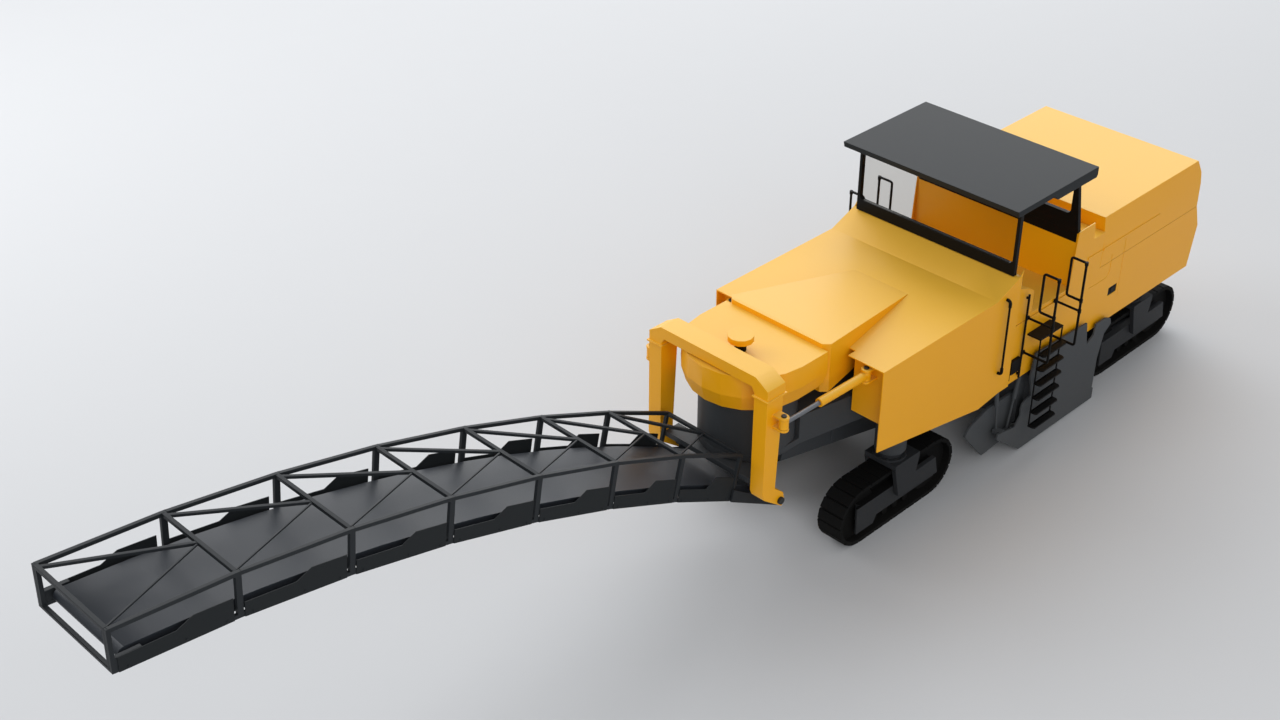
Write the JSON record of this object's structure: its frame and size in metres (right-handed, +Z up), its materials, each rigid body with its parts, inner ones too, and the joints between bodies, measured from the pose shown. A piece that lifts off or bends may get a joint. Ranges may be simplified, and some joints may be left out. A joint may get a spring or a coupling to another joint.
{
  "type": "cold planer milling machine",
  "caption": "Road milling machine with tracked steered legs, a milling drum, canopied operator station and a long arched truss conveyor on a swinging portal.",
  "frame": {"origin": "ground below the middle of the whole length and width", "axes": "+X forward towards the conveyor tip, +Y to the left, +Z up"},
  "size_m": [15.8388, 3.168, 3.9818],
  "materials": {
    "yellow_paint": "satin yellow enamel",
    "frame_grey": "dark grey satin paint",
    "slate_paint": "dark slate satin paint",
    "black_paint": "black satin paint",
    "charcoal_paint": "charcoal satin paint",
    "leg_grey": "near-black satin paint",
    "track_rubber": "black polyurethane shoes",
    "belt_rubber": "worn grey belt rubber",
    "glass": "clear safety glass",
    "rod_steel": "hard chromed rod",
    "engine_iron": "dark cast iron",
    "drum_steel": "worn drum steel"
  },
  "bodies": {
    "chassis": {"canopy": "charcoal_paint", "centre_deck": "yellow_paint", "drum_chamber": "slate_paint", "engine_block": "engine_iron", "fender_left": "yellow_paint", "fender_right": "yellow_paint", "filler_cap": "yellow_paint", "handrails": "black_paint", "ladders": "black_paint", "lower_conveyor": "frame_grey", "main_frame": "frame_grey", "nose_hood": "yellow_paint", "operator_platform": "yellow_paint", "rear_bulkhead": "yellow_paint", "rear_frame": "black_paint", "side_plates": "slate_paint", "side_walls": "yellow_paint", "tail_panel": "yellow_paint", "turret_cap": "yellow_paint", "turret_column": "frame_grey", "windscreen_frame": "black_paint", "windscreen_glass": "glass"},
    "hood": {"rear_hood": "yellow_paint"},
    "drum": {"milling_drum": "drum_steel"},
    "portal": {"portal_yoke": "yellow_paint", "swing_bracket": "frame_grey"},
    "conveyor": {"truss_side_left": "charcoal_paint", "truss_side_right": "charcoal_paint", "truss_bracing": "charcoal_paint", "conveyor_belt": "belt_rubber", "conveyor_skirts": "charcoal_paint"},
    "leg_front_left": {"leg_front_left": "leg_grey", "track_front_left": "track_rubber"},
    "leg_front_right": {"leg_front_right": "leg_grey", "track_front_right": "track_rubber"},
    "leg_rear_left": {"leg_rear_left": "leg_grey", "track_rear_left": "track_rubber"},
    "leg_rear_right": {"leg_rear_right": "leg_grey", "track_rear_right": "track_rubber"},
    "barrel_left": {"swing_barrel_left": "yellow_paint"},
    "piston_left": {"swing_rod_left": "rod_steel"},
    "barrel_right": {"swing_barrel_right": "yellow_paint"},
    "piston_right": {"swing_rod_right": "rod_steel"}
  },
  "joints": [
    {"name": "steer_front_left", "type": "hinge", "parent": "chassis", "child": "leg_front_left", "pos_m": [-1.76129, 0.865, 0.96], "axis": [0, 0, 1], "range_deg": [-15, 15]},
    {"name": "steer_front_right", "type": "hinge", "parent": "chassis", "child": "leg_front_right", "pos_m": [-1.76129, -0.865, 0.96], "axis": [0, 0, 1], "range_deg": [-15, 15]},
    {"name": "steer_rear_left", "type": "hinge", "parent": "chassis", "child": "leg_rear_left", "pos_m": [-6.85129, 0.865, 0.96], "axis": [0, 0, 1], "range_deg": [-15, 15]},
    {"name": "steer_rear_right", "type": "hinge", "parent": "chassis", "child": "leg_rear_right", "pos_m": [-6.85129, -0.865, 0.96], "axis": [0, 0, 1], "range_deg": [-15, 15]},
    {"name": "drum_spin", "type": "hinge", "parent": "chassis", "child": "drum", "pos_m": [-4.62129, 0, 0.53], "axis": [0, 1, 0], "continuous": true},
    {"name": "portal_swing", "type": "hinge", "parent": "chassis", "child": "portal", "pos_m": [-0.18129, 0, 1.5], "axis": [0, 0, 1], "range_deg": [-15, 15]},
    {"name": "conveyor_lift", "type": "hinge", "parent": "portal", "child": "conveyor", "pos_m": [0.22471, 0, 1.253], "axis": [0, -1, 0], "range_deg": [-10, 8]},
    {"name": "hood_lid", "type": "hinge", "parent": "chassis", "child": "hood", "pos_m": [-7.70929, 0, 2.052], "axis": [0, -1, 0], "range_deg": [0, 40]},
    {"name": "barrel_swing_left", "type": "hinge", "parent": "chassis", "child": "barrel_left", "pos_m": [-0.98129, 1.01, 2.4], "axis": [0, 0, 1], "range_deg": [-7, 7]},
    {"name": "piston_slide_left", "type": "slide", "parent": "barrel_left", "child": "piston_left", "axis": [0.9998, -0.0187, 0], "range_m": [-0.28, 0.28]},
    {"name": "barrel_swing_right", "type": "hinge", "parent": "chassis", "child": "barrel_right", "pos_m": [-0.98129, -1.01, 2.4], "axis": [0, 0, 1], "range_deg": [-7, 7]},
    {"name": "piston_slide_right", "type": "slide", "parent": "barrel_right", "child": "piston_right", "axis": [0.9998, 0.0187, 0], "range_m": [-0.28, 0.28]}
  ],
  "couplings": [
    {"joint": "barrel_swing_left", "follows": "portal_swing", "ratio": 0.38411},
    {"joint": "piston_slide_left", "follows": "portal_swing", "m_per_rad": -0.99162},
    {"joint": "barrel_swing_right", "follows": "portal_swing", "ratio": 0.38411},
    {"joint": "piston_slide_right", "follows": "portal_swing", "m_per_rad": 0.99162},
    {"joint": "steer_front_right", "follows": "steer_front_left", "ratio": 1},
    {"joint": "steer_rear_right", "follows": "steer_rear_left", "ratio": 1}
  ]
}
